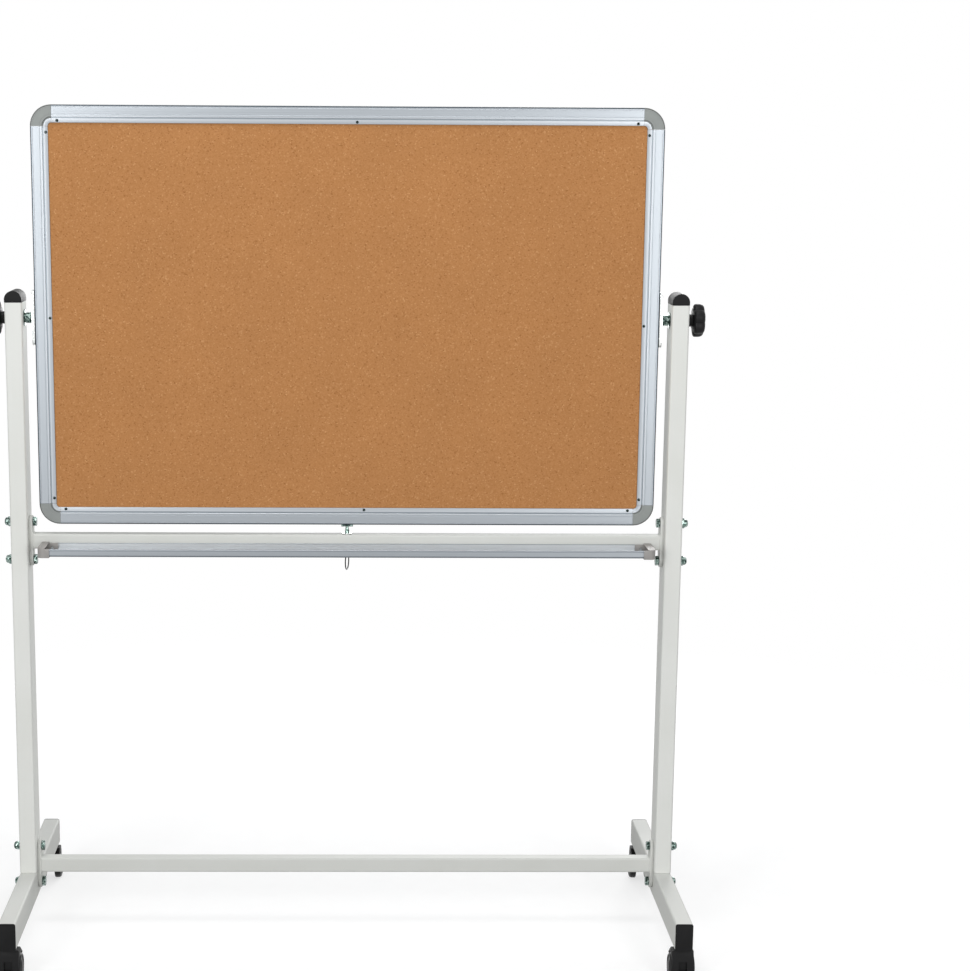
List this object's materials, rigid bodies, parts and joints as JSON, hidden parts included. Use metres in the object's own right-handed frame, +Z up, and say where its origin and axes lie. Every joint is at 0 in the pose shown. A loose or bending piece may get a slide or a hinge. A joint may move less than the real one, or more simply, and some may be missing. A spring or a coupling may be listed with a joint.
{
  "type": "reversible board on a caster stand",
  "caption": "Framed board with a cork face and a dry-erase face, turning between two posts on a caster stand, with clamping knobs, a spring pin and a pen tray.",
  "frame": {"origin": "centre of the footprint at floor level, under the middle of the board", "axes": "+Z up, -Y towards the cork face and the pen tray, +X to the right of someone who faces the cork"},
  "size_m": [1.0478, 0.508, 1.2408],
  "materials": {
    "powder_coat": "satin off-white powder coat",
    "satin_aluminium": "satin anodised extrusion",
    "cork": "matte agglomerated cork",
    "enamel_white": "gloss white dry-erase enamel",
    "fibreboard": "matte pressed fibreboard",
    "grey_plastic": "fine-grained grey moulding",
    "black_plastic": "fine-grained black moulding",
    "wheel_tread": "satin black nylon",
    "zinc_plate": "bright zinc plate with a blue-green tint",
    "spring_steel": "bright drawn wire"
  },
  "bodies": {
    "stand": {"left_post": "powder_coat", "right_post": "powder_coat", "left_post_cap": "black_plastic", "right_post_cap": "black_plastic", "left_foot": "powder_coat", "right_foot": "powder_coat", "left_front_foot_plug": "black_plastic", "left_rear_foot_plug": "black_plastic", "right_front_foot_plug": "black_plastic", "right_rear_foot_plug": "black_plastic", "upper_crossbar": "powder_coat", "lower_crossbar": "powder_coat", "pen_tray": "satin_aluminium", "left_tray_cap": "grey_plastic", "right_tray_cap": "grey_plastic", "latch_guide": "zinc_plate", "latch_spring": "spring_steel", "caster_front_left_stem": "zinc_plate", "caster_front_right_stem": "zinc_plate", "caster_rear_left_stem": "zinc_plate", "caster_rear_right_stem": "zinc_plate"},
    "board": {"cork_sheet": "cork", "board_core": "fibreboard", "white_sheet": "enamel_white", "top_rail": "satin_aluminium", "bottom_rail": "satin_aluminium", "left_rail": "satin_aluminium", "right_rail": "satin_aluminium", "corner_top_left": "grey_plastic", "corner_top_right": "grey_plastic", "corner_bottom_left": "grey_plastic", "corner_bottom_right": "grey_plastic", "left_pivot_plate": "zinc_plate", "right_pivot_plate": "zinc_plate", "left_pivot_nut": "zinc_plate", "right_pivot_nut": "zinc_plate", "left_pivot_washer": "zinc_plate", "right_pivot_washer": "zinc_plate", "latch_strike": "zinc_plate"},
    "left_knob": {"left_knob": "black_plastic"},
    "right_knob": {"right_knob": "black_plastic"},
    "latch": {"latch_pin": "zinc_plate"},
    "ring": {"pull_ring": "spring_steel"},
    "caster_front_left": {"caster_front_left_housing": "black_plastic", "caster_front_left_axle": "spring_steel"},
    "caster_front_left_wheel_a": {"caster_front_left_wheel_a": "wheel_tread"},
    "caster_front_left_wheel_b": {"caster_front_left_wheel_b": "wheel_tread"},
    "caster_front_right": {"caster_front_right_housing": "black_plastic", "caster_front_right_axle": "spring_steel"},
    "caster_front_right_wheel_a": {"caster_front_right_wheel_a": "wheel_tread"},
    "caster_front_right_wheel_b": {"caster_front_right_wheel_b": "wheel_tread"},
    "caster_rear_left": {"caster_rear_left_housing": "black_plastic", "caster_rear_left_axle": "spring_steel"},
    "caster_rear_left_wheel_a": {"caster_rear_left_wheel_a": "wheel_tread"},
    "caster_rear_left_wheel_b": {"caster_rear_left_wheel_b": "wheel_tread"},
    "caster_rear_right": {"caster_rear_right_housing": "black_plastic", "caster_rear_right_axle": "spring_steel"},
    "caster_rear_right_wheel_a": {"caster_rear_right_wheel_a": "wheel_tread"},
    "caster_rear_right_wheel_b": {"caster_rear_right_wheel_b": "wheel_tread"}
  },
  "joints": [
    {"name": "board_turn", "type": "hinge", "parent": "stand", "child": "board", "pos_m": [0, 0, 0.936], "axis": [1, 0, 0], "continuous": true},
    {"name": "left_knob_turn", "type": "hinge", "parent": "board", "child": "left_knob", "pos_m": [-0.5074, 0, 0.936], "axis": [-1, 0, 0], "range_deg": [0, 360]},
    {"name": "right_knob_turn", "type": "hinge", "parent": "board", "child": "right_knob", "pos_m": [0.5074, 0, 0.936], "axis": [1, 0, 0], "range_deg": [0, 360]},
    {"name": "latch_slide", "type": "slide", "parent": "stand", "child": "latch", "axis": [0, 0, 1], "range_m": [-0.007, 0.0028], "stiffness_N_per_m": 600, "deforming": ["latch_spring"]},
    {"name": "ring_swing", "type": "hinge", "parent": "latch", "child": "ring", "pos_m": [0, 0, 0.586], "axis": [0.2079, 0.9781, 0], "range_deg": [-80, 80]},
    {"name": "caster_front_left_swivel", "type": "hinge", "parent": "stand", "child": "caster_front_left", "pos_m": [-0.4864, -0.24, 0.045], "axis": [0, 0, 1], "continuous": true},
    {"name": "caster_front_left_wheel_a_roll", "type": "hinge", "parent": "caster_front_left", "child": "caster_front_left_wheel_a", "pos_m": [-0.4864, -0.23, 0.02], "axis": [1, 0, 0], "continuous": true},
    {"name": "caster_front_left_wheel_b_roll", "type": "hinge", "parent": "caster_front_left", "child": "caster_front_left_wheel_b", "pos_m": [-0.4864, -0.23, 0.02], "axis": [1, 0, 0], "continuous": true},
    {"name": "caster_front_right_swivel", "type": "hinge", "parent": "stand", "child": "caster_front_right", "pos_m": [0.4864, -0.24, 0.045], "axis": [0, 0, 1], "continuous": true},
    {"name": "caster_front_right_wheel_a_roll", "type": "hinge", "parent": "caster_front_right", "child": "caster_front_right_wheel_a", "pos_m": [0.4864, -0.23, 0.02], "axis": [1, 0, 0], "continuous": true},
    {"name": "caster_front_right_wheel_b_roll", "type": "hinge", "parent": "caster_front_right", "child": "caster_front_right_wheel_b", "pos_m": [0.4864, -0.23, 0.02], "axis": [1, 0, 0], "continuous": true},
    {"name": "caster_rear_left_swivel", "type": "hinge", "parent": "stand", "child": "caster_rear_left", "pos_m": [-0.4864, 0.24, 0.045], "axis": [0, 0, 1], "continuous": true},
    {"name": "caster_rear_left_wheel_a_roll", "type": "hinge", "parent": "caster_rear_left", "child": "caster_rear_left_wheel_a", "pos_m": [-0.4864, 0.23, 0.02], "axis": [1, 0, 0], "continuous": true},
    {"name": "caster_rear_left_wheel_b_roll", "type": "hinge", "parent": "caster_rear_left", "child": "caster_rear_left_wheel_b", "pos_m": [-0.4864, 0.23, 0.02], "axis": [1, 0, 0], "continuous": true},
    {"name": "caster_rear_right_swivel", "type": "hinge", "parent": "stand", "child": "caster_rear_right", "pos_m": [0.4864, 0.24, 0.045], "axis": [0, 0, 1], "continuous": true},
    {"name": "caster_rear_right_wheel_a_roll", "type": "hinge", "parent": "caster_rear_right", "child": "caster_rear_right_wheel_a", "pos_m": [0.4864, 0.23, 0.02], "axis": [1, 0, 0], "continuous": true},
    {"name": "caster_rear_right_wheel_b_roll", "type": "hinge", "parent": "caster_rear_right", "child": "caster_rear_right_wheel_b", "pos_m": [0.4864, 0.23, 0.02], "axis": [1, 0, 0], "continuous": true}
  ]
}
